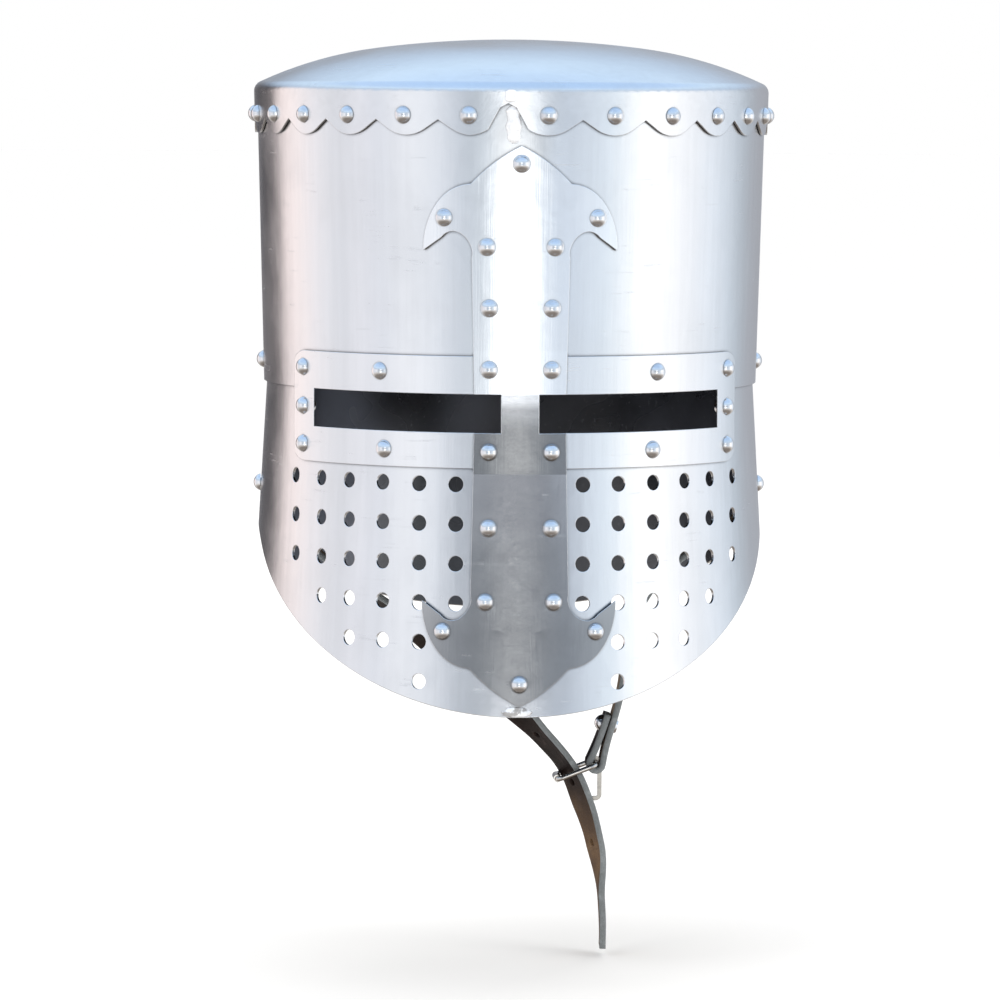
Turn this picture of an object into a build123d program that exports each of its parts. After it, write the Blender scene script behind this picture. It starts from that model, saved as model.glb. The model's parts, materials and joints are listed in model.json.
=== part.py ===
"""Riveted great helm: crown plate, skull shell, face shell, sight plates, cross, liner and chin strap.

Millimetres. +Z is up and the face looks along -Y. The origin is the head seat, the point where the
top of the head meets the lace ring of the liner. "drop" is a distance below the crown edge, and
"angle" goes round the helm from the front centre towards +X.
"""

import math
import os

from build123d import *

# Cutting solids that only have to pass right through a wall or the helm
THROUGH_WALL = 24.0
THROUGH_HALF = 200.0

# Shell: every horizontal section is an ellipse
CROWN_EDGE = 37.0  # height of the crown edge above the head seat
SHEET = 1.2  # all plates are 18 gauge steel
FIT = 0.1  # gap between plates that lie on each other
SKULL_HALF_WIDTH = 119.1
SKULL_HALF_DEPTH = 139.6
SKULL_TAPER = 0.0267  # the skull narrows by this much for each mm of drop
SKULL_TOP = 6.0
WAIST = 138.5  # lower edge of the skull and upper edge of the eye slots
FACE_TOP = 118.0  # the face shell reaches up inside the skull
EDGE_SPARE = 2.5  # walls are made this much taller than the outline cut from them
SEAM_LAP = 1.0  # the face shell starts to flare this far below the waist
FACE_FLARE = 0.057  # below the waist the face shell widens by this much for each mm of drop
CHIN = 283.0  # lower edge at the front centre
SIDE = 199.0  # where the straight hems of chin and nape would meet
NAPE = 259.0  # lower edge at the back centre
HEM_RADIUS = 60.0
HEM_OVERSHOOT = 20.0  # how far the hem's cutting outline runs past the shell

# Crown plate
CROWN_HALF_WIDTH = 120.5
CROWN_HALF_DEPTH = 141.0
DOME_RISE = 21.0
DOME_ARCS = ((480.0, 7.5), (188.6, 17.44), (5.0, 65.06))  # radius and turn, from the top outwards
RIM_DROP = 23.0  # lowest point of the scallops
RIM_TAPER = 0.55
CUSP_DROP = 16.0
LOBE_RADIUS = 16.6
LOBE_TURN = 33.0
CROWN_RIVET_DROP = 14.0
CROWN_RIVET_COUNT = 26
FRONT_RIVET_GAP = 36.0
CROWN_SHIFT = -6.0  # the crown plate is riveted on a little round to the wearer's right
NOTCH = ((7.0, 16.6), (3.7, 10.6), (0.0, 8.6))  # half outline of the bell in the front, x and drop

# Eye slots, sight plates and breath holes
SLOT_BOTTOM = 155.8
SLOT_INNER = 8.5
SLOT_OUTER = 92.0
SLOT_TALL = 60.0  # the slots' cut runs on above the face shell's top
SIGHT_TOP = 121.5
SIGHT_BOTTOM = 171.7
SIGHT_OUTER = 101.0
SIGHT_CORNER = 5.0
HOLE_RADIUS = 3.5
HOLE_COLUMNS = (28.5, 44.8, 61.0, 76.0, 88.5, 100.2)  # distance from the centre plane
HOLE_ROWS = ((0, 5), (0, 5), (0, 5), (0, 4), (1, 3), (1, 1))  # first and last column of each row
HOLE_ROW_TOP = 179.0
HOLE_ROW_PITCH = 17.75

# Cross plate: both heads have one outline, and v runs from a tip towards the middle
CROSS_TOP = 27.4
CROSS_BOTTOM = 278.0
SHOULDER = (22.5, 17.0)
SHOULDER_BULGE = (12.0, 7.4)
ARM_BACK = ((34.0, 21.7), (40.5, 31.0))
ARM_TIP = (43.5, 46.9)
ARM_ROOT = (35.5, 41.0)
ARCH = ((29.3, 38.4), (24.0, 42.0))
SHAFT_HEAD = (22.0, 50.0)
SHAFT_HALF_WIDTH = 20.6
CROSS_RIVETS = (  # x and drop; all but the first and last are on both sides
    (0.0, 35.5),
    (34.5, 59.6),
    (15.3, 72.6),
    (14.1, 99.9),
    (14.1, 127.4),
    (14.1, 164.2),
    (14.1, 198.2),
    (15.4, 231.2),
    (34.5, 244.7),
    (0.0, 268.0),
)

# Rivets
HEAD_RADIUS = 4.0
HEAD_RISE = 3.2
SHANK_RADIUS = 2.0
HOLE_PLAY = 0.1
TAIL_RADIUS = 3.5
TAIL_RISE = 1.4
TAIL_GAP = 0.2
WAIST_RIVET_DROP = 129.0
WAIST_RIVET_ANGLES = (90.0, 120.0, 150.0, 180.0, 210.0, 240.0, 270.0)
SIGHT_RIVETS = ((97.0, 129.0), (62.7, 129.0), (97.0, 146.7), (97.0, 164.0), (60.6, 164.0))

# Liner: a leather band inside the waist, eight tongues and a lace
BAND_GAP = 0.3
LEATHER = 2.5
BAND_TOP = 105.0
BAND_BOTTOM = 134.0
WASHER_RADIUS = 5.5
WASHER = 1.0
WASHER_GAP = 0.3
TONGUE_COUNT = 8
TONGUE = 2.0
TONGUE_REACH = 110.3  # inner face of a tongue where it meets the band, at the side
TONGUE_SPRING = 62.0  # depth of the curved part below the head seat
TONGUE_FOOT = 84.0  # lower end of the tongues below the head seat
TONGUE_SLIT = 3.0  # slope of a tongue's sides
TONGUE_TIP = 4.0  # half width of a tongue inside the lace
LACE_RING = 26.0
LACE_HEIGHT = 3.5
LACE_RADIUS = 1.3
LOOP_RADIUS = 3.5
LOOP_HOLE = 1.6
LINER_STRETCH = 1.185  # depth over width of the liner

# Chin strap, in the plane y = 0
STRAP = 3.0
STRAP_WIDTH = 18.0
ANCHOR_DROP = 187.0
ANCHOR_X = 112.6  # middle of the leather at the anchor
ANCHOR_CORNER = 203.0
STRAP_END = 178.0
LONG_STRAP = (  # x and drop, from the anchor corner over the roller to the tail
    (-50.0, 251.0),
    (2.1, 297.4),
    (20.0, 316.5),
    (31.5, 330.0),
    (39.5, 350.0),
    (44.5, 377.0),
    (43.4, 407.0),
)
SHORT_STRAP = (  # x and drop, from the buckle to the anchor corner
    (55.0, 270.0),
    (58.5, 251.0),
    (69.5, 232.0),
    (88.0, 216.0),
)
STRAP_HOLE_RADIUS = 1.8
STRAP_HOLE_COUNT = 4
STRAP_HOLE_FIRST = 22.0  # from the tail's end
STRAP_HOLE_PITCH = 28.5
PIVOT_PLAY = 0.08

# Buckle
HEEL = (41.4, 319.5)  # x and drop of the heel bar
ROLLER_BAR = (23.3, 326.5)
WIRE = 1.2  # radius of the buckle's wire
FRAME_HALF_WIDTH = 11.2
FRAME_CORNER = 3.0
RUNNING = 0.05
ROLLER_RADIUS = 1.9
ROLLER_LENGTH = 15.0
FOLD_LEAN = 17.6  # how far the short strap leans from upright at the buckle, in degrees
FOLD_GAP = 0.35
FOLD_CLOSE = 10.0
FOLD_END = 24.0
FOLD_OPEN = 33.0
PRONG_EYE = 3.1
PRONG_LENGTH = 18.0
PRONG_WIDTH = 2.4
PRONG_SLOT = 4.4  # width of the slot in the fold, which lets the prong swing
PRONG_SLOT_RISE = 7.0
PRONG_THICK = 2.0
PRONG_HOOK = 4.5  # how far the tip turns back towards the roller
HEEL_JOIN = 1.0  # the frame's wire closes this far off the middle of the heel bar
FOLD_RIVET_UP = 19.0


def skull_wall(drop, out=0.0):
    """Half width and half depth of the skull's outer face at a drop, moved out by out."""
    taper = SKULL_TAPER * drop
    return SKULL_HALF_WIDTH - taper + out, SKULL_HALF_DEPTH - taper + out


def face_wall(drop, out=0.0):
    """The same for the face shell, which follows the skull down to the waist and then flares."""
    half_width, half_depth = skull_wall(min(drop, WAIST + SEAM_LAP), out - SHEET - FIT)
    flare = FACE_FLARE * max(drop - WAIST - SEAM_LAP, 0.0)
    return half_width + flare, half_depth + flare


def levels(*stops):
    """A wall as levels of (drop, half width, half depth), from (drop, wall function, out) stops."""
    return [(drop, *wall(drop, out)) for drop, wall, out in stops]


SKULL = levels((SKULL_TOP, skull_wall, 0.0), (WAIST, skull_wall, 0.0))
FACE = levels(
    (FACE_TOP, face_wall, 0.0),
    (WAIST + SEAM_LAP, face_wall, 0.0),
    (CHIN + EDGE_SPARE, face_wall, 0.0),
)
SIGHT = levels(
    (SIGHT_TOP, skull_wall, FIT + SHEET),
    (WAIST, skull_wall, FIT + SHEET),
    (SIGHT_BOTTOM, face_wall, FIT + SHEET),
)
CROSS = levels(
    (CROSS_TOP - EDGE_SPARE, skull_wall, FIT + SHEET),
    (SIGHT_TOP - EDGE_SPARE, skull_wall, 2 * (FIT + SHEET)),
    (WAIST, skull_wall, 2 * (FIT + SHEET)),
    (SIGHT_BOTTOM + EDGE_SPARE, face_wall, 2 * (FIT + SHEET)),
    (CROSS_BOTTOM + EDGE_SPARE, face_wall, FIT + SHEET),
)
CROWN = [
    (3.0, CROWN_HALF_WIDTH, CROWN_HALF_DEPTH),
    (RIM_DROP, CROWN_HALF_WIDTH - RIM_TAPER, CROWN_HALF_DEPTH - RIM_TAPER),
]
BAND_OUT = -(SHEET + FIT + SHEET + BAND_GAP)
BAND = levels((BAND_TOP, skull_wall, BAND_OUT), (BAND_BOTTOM, skull_wall, BAND_OUT))


def wall_at(wall, drop):
    """Half width, half depth and growth per mm of drop of a wall given by its levels."""
    for upper, lower in zip(wall, wall[1:]):
        if drop <= lower[0] or lower is wall[-1]:
            growth = (lower[1] - upper[1]) / (lower[0] - upper[0])
            down = drop - upper[0]
            return upper[1] + growth * down, upper[2] + growth * down, growth


def seat(wall, angle, drop):
    """Plane on the outer face of a wall: X goes round it, Y goes up it and Z stands out of it."""
    half_width, half_depth, growth = wall_at(wall, drop)
    origin = (half_width * math.sin(angle), -half_depth * math.cos(angle), CROWN_EDGE - drop)
    along = Vector(half_width * math.cos(angle), half_depth * math.sin(angle), 0)
    out = Vector(math.sin(angle) / half_width, -math.cos(angle) / half_depth, 0).normalized()
    return Plane(origin=origin, x_dir=along, z_dir=out + Vector(0, 0, growth))


def seat_at_x(wall, x, drop):
    """The same plane on the front of a wall, x mm from the centre plane."""
    return seat(wall, math.asin(x / wall_at(wall, drop)[0]), drop)


def grip(outer_wall, drop, inner_width):
    """Length of shank from the outer face of a wall to a face whose half width is given."""
    return wall_at(outer_wall, drop)[0] - inner_width + TAIL_GAP


def both_sides(places):
    """Every (x, drop) place, and its mirror image where it is off the centre plane."""
    return [(side * x, drop) for x, drop in places for side in (1, -1) if x > 0 or side > 0]


def angle_at_distance(distance, half_width, half_depth):
    """Angle of the point that lies a distance round the ellipse from the front centre."""
    if distance < 0:
        return -angle_at_distance(-distance, half_width, half_depth)
    angle = 0.0
    step = 0.0005
    while distance > 0:
        distance -= step * math.hypot(half_width * math.cos(angle), half_depth * math.sin(angle))
        angle += step
    return angle


def oval_block(wall, out=0.0):
    """Solid inside a wall, moved out by out."""
    with BuildPart() as block:
        for drop, half_width, half_depth in wall:
            with BuildSketch(Plane.XY.offset(CROWN_EDGE - drop)):
                Ellipse(half_width + out, half_depth + out)
        loft(ruled=True)
    return block.part


def ring_wall(wall, thickness=SHEET):
    """Sheet whose outer face is the wall."""
    outside = oval_block(wall)
    inside = oval_block(wall, -thickness)
    with BuildPart() as ring:
        add(outside)
        add(inside, mode=Mode.SUBTRACT)
    return ring.part


def rivet_group(seats):
    """Domed rivets, one for each (seat plane, grip)."""
    mid_turn = math.atan2(HEAD_RISE, HEAD_RADIUS)
    ball = (HEAD_RADIUS**2 + HEAD_RISE**2) / (2 * HEAD_RISE)
    dome_mid = (ball * math.sin(mid_turn), HEAD_RISE - ball + ball * math.cos(mid_turn))
    with BuildPart() as group:
        for plane, length in seats:
            with BuildSketch(Plane(origin=plane.origin, x_dir=plane.x_dir, z_dir=-plane.y_dir)):
                with BuildLine():
                    ThreePointArc((0, HEAD_RISE), dome_mid, (HEAD_RADIUS, 0))
                    Polyline(
                        (HEAD_RADIUS, 0),
                        (SHANK_RADIUS, 0),
                        (SHANK_RADIUS, -length),
                        (TAIL_RADIUS, -length),
                        (TAIL_RADIUS * 0.8, -length - TAIL_RISE),
                        (0, -length - TAIL_RISE),
                        (0, HEAD_RISE),
                    )
                make_face()
            revolve(axis=Axis(plane.origin, plane.z_dir))
    return group.part


def rivet_holes(seats):
    """Cylinders that clear the shanks of the rivets."""
    with BuildPart() as holes:
        with Locations(*[plane for plane, _ in seats]):
            Cylinder(SHANK_RADIUS + HOLE_PLAY, THROUGH_WALL)
    return holes.part


def write(name, part):
    part.label = name
    export_step(part, f"parts/{name}.step")


os.makedirs("parts", exist_ok=True)

# Rivet seats, each with its grip
skull_inside = -SHEET
washer_inside = BAND_OUT - LEATHER - WASHER_GAP - WASHER


def crown_places():
    """Angles of the crown rivets: a wide gap at the front and one even pitch round the rest."""
    half_width, half_depth, _ = wall_at(CROWN, CROWN_RIVET_DROP)
    steps = 3600
    length = sum(
        math.hypot(half_width * math.cos(turn), half_depth * math.sin(turn)) * math.tau / steps
        for turn in (math.tau * index / steps for index in range(steps))
    )
    pitch = (length - FRONT_RIVET_GAP) / (CROWN_RIVET_COUNT - 1)
    return [
        angle_at_distance(CROWN_SHIFT + FRONT_RIVET_GAP / 2 + pitch * index, half_width, half_depth)
        for index in range(CROWN_RIVET_COUNT)
    ], pitch


crown_angles, crown_pitch = crown_places()
crown_seats = [
    (
        seat(CROWN, angle, CROWN_RIVET_DROP),
        grip(CROWN, CROWN_RIVET_DROP, skull_wall(CROWN_RIVET_DROP, skull_inside)[0]),
    )
    for angle in crown_angles
]
band_face = skull_wall(WAIST_RIVET_DROP, washer_inside)[0]
waist_seats = [
    (seat(SKULL, math.radians(angle), WAIST_RIVET_DROP), grip(SKULL, WAIST_RIVET_DROP, band_face))
    for angle in WAIST_RIVET_ANGLES
]


def inner_face(drop):
    """Half width of whatever a rivet of the front is closed on at a drop."""
    if drop < BAND_TOP:
        return skull_wall(drop, skull_inside)[0]
    if drop < WAIST:
        return skull_wall(drop, washer_inside)[0]
    return face_wall(drop, -SHEET)[0]


sight_seats = {
    side: [
        (seat_at_x(SIGHT, sign * x, drop), grip(SIGHT, drop, inner_face(drop)))
        for x, drop in SIGHT_RIVETS
    ]
    for side, sign in (("left", 1), ("right", -1))
}
cross_places = both_sides(CROSS_RIVETS)
cross_seats = [
    (seat_at_x(CROSS, x, drop), grip(CROSS, drop, inner_face(drop))) for x, drop in cross_places
]
upper_cross = [s for s, (_, drop) in zip(cross_seats, cross_places) if drop < WAIST]
lower_cross = [s for s, (_, drop) in zip(cross_seats, cross_places) if drop > WAIST]
all_sight = sight_seats["left"] + sight_seats["right"]
skull_front_seats = [s for s in all_sight + upper_cross if s[0].origin.Z > CROWN_EDGE - WAIST]
band_seats = waist_seats + [s for s in skull_front_seats if s[0].origin.Z < CROWN_EDGE - BAND_TOP]

# Crown plate: a raised dome with a scalloped rim turned down over the skull


def dome_block(half_width, half_depth, inset):
    """Solid under the dome and inside the rim, moved in by inset."""
    with BuildPart() as block:
        with BuildSketch(Plane.XZ):
            with BuildLine():
                turned = 0.0
                end = (0, CROWN_EDGE + DOME_RISE - inset)
                for radius, turn in DOME_ARCS:
                    heading = (math.cos(math.radians(turned)), -math.sin(math.radians(turned)))
                    arc = JernArc(start=end, tangent=heading, radius=radius - inset, arc_size=-turn)
                    end = arc @ 1
                    turned += turn
                foot = half_width - RIM_TAPER
                Polyline(
                    end,
                    (foot, CROWN_EDGE - RIM_DROP - inset),
                    (0, CROWN_EDGE - RIM_DROP - inset),
                    (0, CROWN_EDGE + DOME_RISE - inset),
                )
            make_face()
        revolve(axis=Axis.Z)
        scale(by=(1, half_depth / half_width, 1))
    return block.part


def scallop_cutters():
    """What is cut from the foot of the rim: a cusp between two rivets, a bell at the front."""
    half_width, half_depth, _ = wall_at(CROWN, RIM_DROP)
    with BuildPart() as cutters:
        for index in range(CROWN_RIVET_COUNT):
            front = index == 0
            half_gap = FRONT_RIVET_GAP / 2 if front else crown_pitch / 2
            distance = 0 if front else FRONT_RIVET_GAP / 2 + crown_pitch * (index - 0.5)
            angle = angle_at_distance(CROWN_SHIFT + distance, half_width, half_depth)
            level = seat(CROWN, angle, RIM_DROP)
            with BuildSketch(level):
                with BuildLine():
                    lobe = JernArc((half_gap, 0), (-1, 0), LOBE_RADIUS, -LOBE_TURN)
                    if front:
                        Polyline(lobe @ 1, *[(x, RIM_DROP - drop) for x, drop in NOTCH])
                    else:
                        Line(lobe @ 1, (0, RIM_DROP - CUSP_DROP))
                    Polyline((half_gap, 0), (half_gap, -4), (0, -4))
                    mirror(about=Plane.YZ)
                make_face()
            extrude(amount=8, both=True)
    return cutters.part


crown_outside = dome_block(CROWN_HALF_WIDTH, CROWN_HALF_DEPTH, 0.0)
crown_inside = dome_block(CROWN_HALF_WIDTH - SHEET, CROWN_HALF_DEPTH - SHEET, SHEET)
scallops = scallop_cutters()
crown_holes = rivet_holes(crown_seats)
with BuildPart() as crown_plate:
    add(crown_outside)
    add(crown_inside, mode=Mode.SUBTRACT)
    add(scallops, mode=Mode.SUBTRACT)
    add(crown_holes, mode=Mode.SUBTRACT)
write("crown_plate", crown_plate.part)
write("crown_rivets", rivet_group(crown_seats))

# Skull shell
skull_ring = ring_wall(SKULL)
skull_holes = rivet_holes(crown_seats + waist_seats + skull_front_seats)
with BuildPart() as skull_shell:
    add(skull_ring)
    add(skull_holes, mode=Mode.SUBTRACT)
write("skull_shell", skull_shell.part)
write("waist_rivets", rivet_group(waist_seats))

# Face shell: straight hems in side view, open at the eye slots, pierced for breath
face_ring = ring_wall(FACE)
anchor_face = face_wall(ANCHOR_DROP + HEAD_RADIUS)[0]
anchor_height = CROWN_EDGE - ANCHOR_DROP
anchor_seats = [
    Plane(origin=(side * anchor_face, 0, anchor_height), x_dir=(0, side, 0), z_dir=(side, 0, 0))
    for side in (1, -1)
]
strap_face = ANCHOR_X - STRAP / 2
anchor_rivets = [(plane, anchor_face - strap_face + TAIL_GAP) for plane in anchor_seats]
face_holes = rivet_holes(waist_seats + all_sight + lower_cross + anchor_rivets)
breath_places = [
    (HOLE_COLUMNS[column], HOLE_ROW_TOP + HOLE_ROW_PITCH * row)
    for row, (first, last) in enumerate(HOLE_ROWS)
    for column in range(first, last + 1)
]
front = face_wall(CHIN)[1]
far = front + HEM_OVERSHOOT
chin_end = (-far, CROWN_EDGE - SIDE - (CHIN - SIDE) * far / front)
nape_end = (far, CROWN_EDGE - SIDE - (NAPE - SIDE) * far / front)
below = chin_end[1] - HEM_OVERSHOOT
slot_middle = (SLOT_INNER + SLOT_OUTER) / 2
with BuildPart() as face_shell:
    add(face_ring)
    with BuildSketch(Plane.YZ):
        with BuildLine():
            FilletPolyline(chin_end, (0, CROWN_EDGE - SIDE), nape_end, radius=HEM_RADIUS)
            Polyline(nape_end, (far, below), (-far, below), chin_end)
        make_face()
    extrude(amount=THROUGH_HALF, both=True, mode=Mode.SUBTRACT)
    with BuildSketch(Plane.XZ):
        with Locations((slot_middle, CROWN_EDGE - SLOT_BOTTOM), (-slot_middle, CROWN_EDGE - SLOT_BOTTOM)):
            Rectangle(SLOT_OUTER - SLOT_INNER, SLOT_TALL, align=(Align.CENTER, Align.MIN))
    extrude(amount=THROUGH_HALF, mode=Mode.SUBTRACT)
    with Locations(*[seat_at_x(FACE, x, drop) for x, drop in both_sides(breath_places)]):
        Cylinder(HOLE_RADIUS, THROUGH_WALL, mode=Mode.SUBTRACT)
    add(face_holes, mode=Mode.SUBTRACT)
write("face_shell", face_shell.part)

# Sight plates: a C round each eye slot
sight_ring = ring_wall(SIGHT)
for side, sign in (("left", 1), ("right", -1)):
    sight_holes = rivet_holes(sight_seats[side] + cross_seats)
    with BuildPart() as sight_plate:
        add(sight_ring)
        with BuildSketch(Plane.XZ):
            with BuildLine():
                FilletPolyline(
                    (SLOT_INNER + FIT, CROWN_EDGE - SIGHT_TOP),
                    (SIGHT_OUTER, CROWN_EDGE - SIGHT_TOP),
                    (SIGHT_OUTER, CROWN_EDGE - SIGHT_BOTTOM),
                    (SLOT_INNER + FIT, CROWN_EDGE - SIGHT_BOTTOM),
                    radius=SIGHT_CORNER,
                )
                Polyline(
                    (SLOT_INNER + FIT, CROWN_EDGE - SIGHT_BOTTOM),
                    (SLOT_INNER + FIT, CROWN_EDGE - SLOT_BOTTOM),
                    (SLOT_OUTER, CROWN_EDGE - SLOT_BOTTOM),
                    (SLOT_OUTER, CROWN_EDGE - WAIST),
                    (SLOT_INNER + FIT, CROWN_EDGE - WAIST),
                    (SLOT_INNER + FIT, CROWN_EDGE - SIGHT_TOP),
                )
            make_face()
            if sign < 0:
                mirror(about=Plane.YZ, mode=Mode.REPLACE)
        extrude(amount=THROUGH_HALF, mode=Mode.INTERSECT)
        add(sight_holes, mode=Mode.SUBTRACT)
    write(f"sight_plate_{side}", sight_plate.part)
    write(f"sight_rivets_{side}", rivet_group(sight_seats[side]))

# Cross plate


def cross_head(tip_drop, sense):
    """Half outline of one head, from its tip to the shaft; sense is 1 at the top, -1 at the bottom."""

    def at(place):
        return (place[0], CROWN_EDGE - tip_drop - sense * place[1])

    ThreePointArc(at((0, 0)), at(SHOULDER_BULGE), at(SHOULDER))
    Spline(at(SHOULDER), *[at(place) for place in ARM_BACK], at(ARM_TIP))
    Line(at(ARM_TIP), at(ARM_ROOT))
    Spline(at(ARM_ROOT), *[at(place) for place in ARCH], at(SHAFT_HEAD))
    return at(SHAFT_HEAD)


cross_ring = ring_wall(CROSS)
cross_holes = rivet_holes(cross_seats)
with BuildPart() as cross_plate:
    add(cross_ring)
    with BuildSketch(Plane.XZ):
        with BuildLine():
            upper_end = cross_head(CROSS_TOP, 1)
            lower_end = cross_head(CROSS_BOTTOM, -1)
            Polyline(
                upper_end,
                (SHAFT_HALF_WIDTH, CROWN_EDGE - WAIST),
                (SLOT_INNER, CROWN_EDGE - WAIST),
                (SLOT_INNER, CROWN_EDGE - SLOT_BOTTOM),
                (SHAFT_HALF_WIDTH, CROWN_EDGE - SLOT_BOTTOM),
                lower_end,
            )
            Line((0, CROWN_EDGE - CROSS_TOP), (0, CROWN_EDGE - CROSS_BOTTOM))
        make_face()
        mirror(about=Plane.YZ)
    extrude(amount=THROUGH_HALF, mode=Mode.INTERSECT)
    add(cross_holes, mode=Mode.SUBTRACT)
write("cross_plate", cross_plate.part)
write("cross_rivets", rivet_group(cross_seats))

# Liner
band_ring = ring_wall(BAND, LEATHER)
band_holes = rivet_holes(band_seats)
with BuildPart() as liner_band:
    add(band_ring)
    add(band_holes, mode=Mode.SUBTRACT)
write("liner_band", liner_band.part)

with BuildPart() as liner_washers:
    for plane, length in band_seats:
        with Locations(plane.offset(TAIL_GAP - length)):
            Cylinder(WASHER_RADIUS, WASHER, align=(Align.CENTER, Align.CENTER, Align.MIN))
            Cylinder(SHANK_RADIUS + HOLE_PLAY, 3 * WASHER, mode=Mode.SUBTRACT)
write("liner_washers", liner_washers.part)

tongue_start = LACE_RING - 2 * LOOP_RADIUS
tongue_end = TONGUE_REACH + 2 * LOOP_RADIUS
tongue_side = [(length, length / TONGUE_SLIT) for length in (2 * LACE_RING, tongue_end)]
for number in range(TONGUE_COUNT):
    with BuildPart() as tongue:
        with BuildSketch(Plane.XZ):
            with BuildLine():
                center = (LACE_RING, -TONGUE_SPRING)
                reach = TONGUE_REACH - LACE_RING
                under = EllipticalCenterArc(center, reach - TONGUE, TONGUE_SPRING, 0, arc_size=90)
                over = EllipticalCenterArc(center, reach, TONGUE_SPRING + TONGUE, 0, arc_size=90)
                foot = [(TONGUE_REACH - TONGUE, -TONGUE_FOOT), (TONGUE_REACH, -TONGUE_FOOT)]
                Polyline(under @ 0, *foot, over @ 0)
                Line(under @ 1, over @ 1)
            make_face()
            with Locations((LACE_RING, LACE_HEIGHT)):
                Circle(LOOP_RADIUS)
                Circle(LOOP_HOLE, mode=Mode.SUBTRACT)
        revolve(axis=Axis.Z)
        with BuildSketch(Plane.XY.rotated((0, 0, 360 / TONGUE_COUNT * number))):
            with BuildLine():
                Polyline((tongue_start, 0), (tongue_start, TONGUE_TIP), *tongue_side, (tongue_end, 0))
                mirror(about=Plane.XZ)
            make_face()
        extrude(amount=THROUGH_HALF, both=True, mode=Mode.INTERSECT)
        scale(by=(1, LINER_STRETCH, 1))
    write(f"liner_tongue_{number + 1}", tongue.part)

with BuildPart() as liner_lace:
    with BuildSketch(Plane.XZ):
        with Locations((LACE_RING, LACE_HEIGHT)):
            Circle(LACE_RADIUS)
    revolve(axis=Axis.Z)
    scale(by=(1, LINER_STRETCH, 1))
    knot_turn = math.radians(180 / TONGUE_COUNT)
    knot_x = LACE_RING * math.cos(knot_turn)
    knot_y = LACE_RING * LINER_STRETCH * math.sin(knot_turn)
    with Locations((knot_x, knot_y, LACE_HEIGHT)):
        Sphere(2 * LACE_RADIUS)
write("liner_lace", liner_lace.part)

# Chin strap: two leathers that turn on the anchor rivets and meet in the buckle
pivot = SHANK_RADIUS + PIVOT_PLAY
write("strap_rivets", rivet_group(anchor_rivets))


def height(place):
    """A place given by x and drop, as x and height."""
    return (place[0], CROWN_EDGE - place[1])


def bend_radii(points):
    """The largest even bends that the runs of a route leave room for."""
    radii = []
    for before, corner, after in zip(points, points[1:], points[2:]):
        come = Vector(*corner) - Vector(*before)
        go = Vector(*after) - Vector(*corner)
        turn = math.radians(come.get_angle(go))
        radii.append(0.45 * min(come.length, go.length) / math.tan(turn / 2))
    return radii


def square_across(path, distance):
    """Plane square to a strap's middle line: X goes across the leather and Y through it."""
    place = path.position_at(distance, position_mode=PositionMode.LENGTH)
    heading = path.tangent_at(distance, position_mode=PositionMode.LENGTH)
    return Plane(origin=place, x_dir=(0, 1, 0), z_dir=heading)


long_anchor = ((-ANCHOR_X, STRAP_END), (-ANCHOR_X, ANCHOR_CORNER))
long_points = [height(place) for place in (*long_anchor, *LONG_STRAP)]
long_radii = bend_radii(long_points)
print("long strap bends", [round(radius, 1) for radius in long_radii])
with BuildPart() as chin_strap_long:
    with BuildLine(Plane.XZ) as long_path:
        FilletPolyline(*long_points, radius=long_radii)
    long_length = long_path.wires()[0].length
    with BuildSketch(square_across(long_path.wires()[0], 0)):
        Rectangle(STRAP_WIDTH, STRAP)
    sweep(path=long_path.wires()[0])
    with Locations(anchor_seats[1]):
        Cylinder(pivot, THROUGH_WALL, mode=Mode.SUBTRACT)
    for number in range(STRAP_HOLE_COUNT):
        along = long_length - STRAP_HOLE_FIRST - STRAP_HOLE_PITCH * number
        with Locations(square_across(long_path.wires()[0], along).rotated((90, 0, 0))):
            Cylinder(STRAP_HOLE_RADIUS, 2 * STRAP, mode=Mode.SUBTRACT)
print("long strap", round(long_length, 1), "volume", round(chin_strap_long.part.volume, 1))
write("chin_strap_long", chin_strap_long.part)

lean = math.radians(FOLD_LEAN)
fold_radius = WIRE + FOLD_GAP + STRAP / 2
layer = (STRAP + 2 * FIT) / 2


def at_fold(right, up):
    """Place by the heel bar: up runs along the short strap, right is square to it."""
    x = HEEL[0] + right * math.cos(lean) + up * math.sin(lean)
    return (x, CROWN_EDGE - HEEL[1] - right * math.sin(lean) + up * math.cos(lean))


reach = math.hypot(layer, FOLD_CLOSE)
touch = math.atan2(FOLD_CLOSE, layer) - math.acos(fold_radius / reach)
touch_right = (fold_radius * math.cos(touch), fold_radius * math.sin(touch))
short_anchor = ((ANCHOR_X, ANCHOR_CORNER), (ANCHOR_X, STRAP_END))
short_points = [
    at_fold(*touch_right),
    at_fold(layer, FOLD_CLOSE),
    at_fold(layer, FOLD_OPEN),
    *[height(place) for place in (*SHORT_STRAP, *short_anchor)],
]
short_radii = bend_radii(short_points)
print("short strap bends", [round(radius, 1) for radius in short_radii])
end_points = [
    at_fold(-layer, FOLD_END),
    at_fold(-layer, FOLD_CLOSE),
    at_fold(-touch_right[0], touch_right[1]),
]
heel_center = (HEEL[0], 0, CROWN_EDGE - HEEL[1])
fold_plane = Plane(origin=heel_center, x_dir=(math.cos(lean), 0, -math.sin(lean)), z_dir=(0, -1, 0))
fold_rivet_seat = Plane(
    origin=fold_plane.from_local_coords((-layer - STRAP / 2, FOLD_RIVET_UP, 0)),
    x_dir=(0, 1, 0),
    z_dir=-fold_plane.x_dir,
)
fold_outside = fold_radius + STRAP
slot_top = fold_outside + PRONG_SLOT_RISE
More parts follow.
